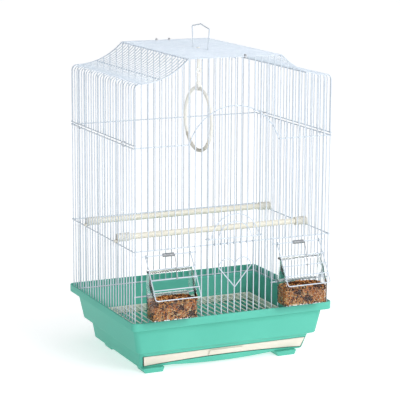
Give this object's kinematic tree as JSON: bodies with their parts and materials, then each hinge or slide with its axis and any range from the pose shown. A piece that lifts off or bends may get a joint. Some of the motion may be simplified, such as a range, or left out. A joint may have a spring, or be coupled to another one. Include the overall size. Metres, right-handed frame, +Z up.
{
  "type": "bird cage",
  "caption": "Wire bird cage with a hollow-shouldered roof, sliding door, outside feeders, perches and swing, on a moulded base tray with a pull-out drawer.",
  "frame": {"origin": "on the floor, under the middle of the whole cage with its feeders", "axes": "+Z up, the door and feeders face -Y, +X to the right seen from the front"},
  "size_m": [0.395, 0.36, 0.6074],
  "materials": {
    "white_wire": "glossy white coating",
    "mint_tray": "moulded, soft gloss",
    "cream_plastic": "moulded, soft gloss",
    "perch_plastic": "fine grooves along the rod",
    "perch_cap": "ribbed",
    "clear_cup": "clear",
    "spring_steel": "bright wire",
    "clip_steel": "zinc coated wire",
    "swing_plastic": "moulded, soft gloss"
  },
  "bodies": {
    "base": {"tray": "mint_tray"},
    "drawer": {"drawer_front": "cream_plastic", "drawer_pan": "mint_tray"},
    "grate": {"floor_grate": "cream_plastic"},
    "cage": {"front_panel": "white_wire", "front_panel_edge": "white_wire", "seam_arch": "white_wire", "back_panel": "white_wire", "back_panel_edge": "white_wire", "left_side_panel": "white_wire", "right_side_panel": "white_wire", "roof_top": "white_wire", "roof_slope_left": "white_wire", "roof_slope_right": "white_wire", "roof_side_left": "white_wire", "roof_side_right": "white_wire", "roof_rails": "white_wire", "panel_hooks": "white_wire", "seam_clips": "clip_steel", "roof_clips": "clip_steel", "left_guard_rod": "white_wire", "right_guard_rod": "white_wire", "front_perch": "perch_plastic", "rear_perch": "perch_plastic", "front_perch_left_cap": "perch_cap", "front_perch_right_cap": "perch_cap", "rear_perch_left_cap": "perch_cap", "rear_perch_right_cap": "perch_cap"},
    "door": {"door": "white_wire", "door_arches": "white_wire", "door_heart": "white_wire", "door_hooks": "white_wire"},
    "left_guard": {"left_guard": "white_wire", "left_guard_spring": "spring_steel"},
    "right_guard": {"right_guard": "white_wire", "right_guard_spring": "spring_steel"},
    "left_cup": {"left_cup": "clear_cup"},
    "right_cup": {"right_cup": "clear_cup"},
    "swing": {"swing_hanger": "swing_plastic", "swing_ring": "swing_plastic"},
    "handle": {"handle": "white_wire"}
  },
  "joints": [
    {"name": "drawer_slide", "type": "slide", "parent": "base", "child": "drawer", "axis": [0, -1, 0], "range_m": [0, 0.18]},
    {"name": "grate_lift", "type": "slide", "parent": "base", "child": "grate", "axis": [0, 0, 1], "range_m": [0, 0.06]},
    {"name": "cage_lift", "type": "slide", "parent": "base", "child": "cage", "axis": [0, 0, 1], "range_m": [0, 0.12]},
    {"name": "door_slide", "type": "slide", "parent": "cage", "child": "door", "axis": [0, 0, 1], "range_m": [0, 0.125]},
    {"name": "left_guard_hinge", "type": "hinge", "parent": "cage", "child": "left_guard", "pos_m": [-0.128, -0.13364, 0.222], "axis": [-1, 0, 0], "range_deg": [0, 100], "stiffness_Nm_per_rad": 0.02, "springref_deg": -20.05},
    {"name": "right_guard_hinge", "type": "hinge", "parent": "cage", "child": "right_guard", "pos_m": [0.128, -0.13364, 0.222], "axis": [-1, 0, 0], "range_deg": [0, 100], "stiffness_Nm_per_rad": 0.02, "springref_deg": -20.05},
    {"name": "left_cup_slide", "type": "slide", "parent": "cage", "child": "left_cup", "axis": [0, -1, 0], "range_m": [0, 0.05]},
    {"name": "right_cup_slide", "type": "slide", "parent": "cage", "child": "right_cup", "axis": [0, -1, 0], "range_m": [0, 0.05]},
    {"name": "handle_hinge", "type": "hinge", "parent": "cage", "child": "handle", "pos_m": [0, 0.01448, 0.55968], "axis": [0, 1, 0], "range_deg": [-75, 75]},
    {"name": "swing_hinge", "type": "hinge", "parent": "cage", "child": "swing", "pos_m": [0, 0.02298, 0.55968], "axis": [0, 1, 0], "range_deg": [-30, 30]}
  ],
  "couplings": [
    {"joint": "left_cup_slide", "follows": "left_guard_hinge", "m_per_rad": 0.0286},
    {"joint": "right_cup_slide", "follows": "right_guard_hinge", "m_per_rad": 0.0286}
  ]
}
